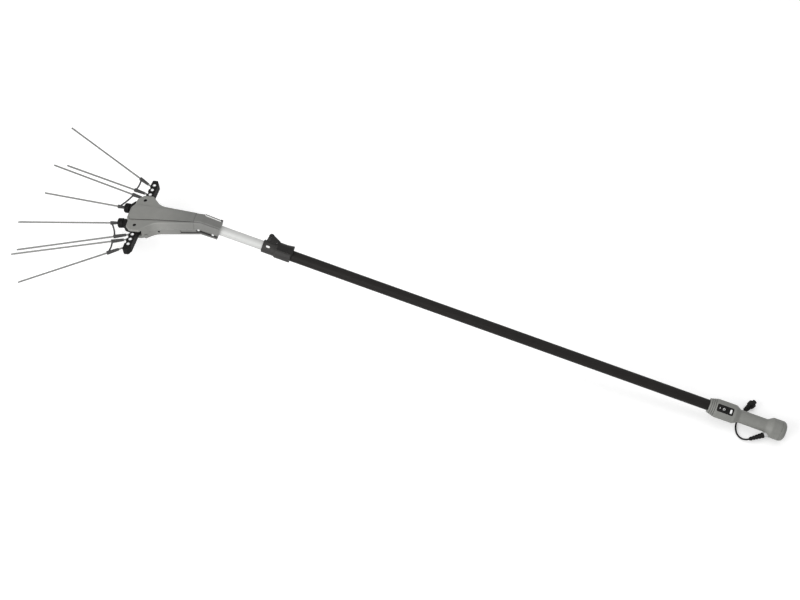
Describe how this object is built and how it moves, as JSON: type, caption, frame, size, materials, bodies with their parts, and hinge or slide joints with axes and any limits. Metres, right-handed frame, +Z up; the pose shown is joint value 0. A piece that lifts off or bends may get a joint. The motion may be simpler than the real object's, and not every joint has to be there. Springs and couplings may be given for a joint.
{
  "type": "electric olive harvester",
  "caption": "Telescopic pole olive harvester with a drooping moulded motor head, two geared combs of flexible rods, a lever clamp, a switch handle and a short plug lead.",
  "frame": {"origin": "on the floor under the middle of the tool, lying on the tip of its longest inner rod and the butt of its handle", "axes": "+X towards the handle, -X towards the combs, +Y to the operator's right, +Z up"},
  "size_m": [2.168, 0.5996, 0.1742],
  "materials": {
    "black_paint": "satin black paint on aluminium tube",
    "bare_aluminium": "satin anodised",
    "grey_plastic": "fine moulded texture",
    "black_plastic": "moulded, slight sheen",
    "black_rubber": "matt",
    "white_plastic": "clear milky lens",
    "light_plastic": "moulded",
    "black_steel": "black oxide",
    "bright_steel": "zinc plated",
    "brass": "machined",
    "rod_grey": "pultruded fibre rod"
  },
  "bodies": {
    "pole": {"outer_tube": "black_paint", "front_guide_bush": "black_plastic", "coiled_lead": "black_rubber", "handle_upper_shell": "grey_plastic", "handle_lower_shell": "grey_plastic", "handle_screws": "black_steel", "butt_cap": "grey_plastic", "switch_bezel": "black_plastic", "charge_lamp": "white_plastic", "switch_body": "black_plastic", "cord_gland": "light_plastic", "strain_relief": "black_rubber", "power_cord": "black_rubber", "plug_body": "black_plastic", "plug_nose": "black_plastic", "plug_contacts": "brass", "clamp_collar": "black_plastic", "clamp_pin": "black_steel"},
    "clamp_lever": {"clamp_lever": "black_plastic"},
    "rocker": {"rocker_switch": "black_plastic"},
    "head": {"inner_tube": "bare_aluminium", "rear_guide_bush": "black_plastic", "head_upper_shell": "grey_plastic", "head_lower_shell": "grey_plastic", "head_side_screws": "bright_steel", "head_flank_screws": "black_steel", "pivot_bolts": "black_steel", "motor_can": "bright_steel", "motor_end_cap": "black_plastic", "lower_bearing": "bright_steel", "upper_bearing": "bright_steel"},
    "left_comb": {"left_arm": "black_plastic", "left_arm_bush": "brass", "left_rod_screws": "bright_steel", "rod_5": "rod_grey", "rod_6": "rod_grey", "rod_7": "rod_grey", "rod_8": "rod_grey", "left_inner_link": "black_rubber", "left_outer_link": "black_rubber"},
    "right_comb": {"right_arm": "black_plastic", "right_arm_bush": "brass", "right_rod_screws": "bright_steel", "rod_1": "rod_grey", "rod_2": "rod_grey", "rod_3": "rod_grey", "rod_4": "rod_grey", "right_inner_link": "black_rubber", "right_outer_link": "black_rubber"},
    "crown_wheel": {"crown_gear": "bright_steel"},
    "rotor": {"motor_rotor": "bright_steel", "pinion": "bright_steel"},
    "connecting_rod": {"connecting_rod": "black_plastic"}
  },
  "joints": [
    {"name": "pole_slide", "type": "slide", "parent": "pole", "child": "head", "axis": [-0.9972, 0, 0.0742], "range_m": [0, 0.8], "deforming": ["coiled_lead"]},
    {"name": "clamp_lever_hinge", "type": "hinge", "parent": "pole", "child": "clamp_lever", "pos_m": [-0.3989, 0.00343, 0.1575], "axis": [0.0568, -0.6428, 0.7639], "range_deg": [0, 100]},
    {"name": "rocker_tilt", "type": "hinge", "parent": "pole", "child": "rocker", "pos_m": [0.89922, -0.03087, 0.05696], "axis": [0.0393, 0.848, 0.5285], "range_deg": [0, 14]},
    {"name": "left_arm_swing", "type": "hinge", "parent": "head", "child": "left_comb", "pos_m": [-0.75721, -0.0677, 0.1044], "axis": [-0.2965, 0, 0.955], "range_deg": [-9, 9]},
    {"name": "right_arm_swing", "type": "hinge", "parent": "head", "child": "right_comb", "pos_m": [-0.75721, 0.0263, 0.1044], "axis": [-0.2965, 0, 0.955], "range_deg": [-9, 9]},
    {"name": "crown_spin", "type": "hinge", "parent": "head", "child": "crown_wheel", "pos_m": [-0.71041, -0.0207, 0.11893], "axis": [-0.2965, 0, 0.955], "continuous": true},
    {"name": "motor_spin", "type": "hinge", "parent": "head", "child": "rotor", "pos_m": [-0.67247, -0.0207, 0.11814], "axis": [-0.955, 0, -0.2965], "continuous": true},
    {"name": "connecting_rod_pivot", "type": "hinge", "parent": "right_comb", "child": "connecting_rod", "pos_m": [-0.7578, -0.0037, 0.10631], "axis": [-0.2965, 0, 0.955], "range_deg": [-9, 9]}
  ],
  "couplings": [
    {"joint": "right_arm_swing", "follows": "left_arm_swing", "ratio": -1},
    {"joint": "motor_spin", "follows": "crown_spin", "ratio": 3.5},
    {"joint": "connecting_rod_pivot", "follows": "left_arm_swing", "ratio": 1}
  ]
}
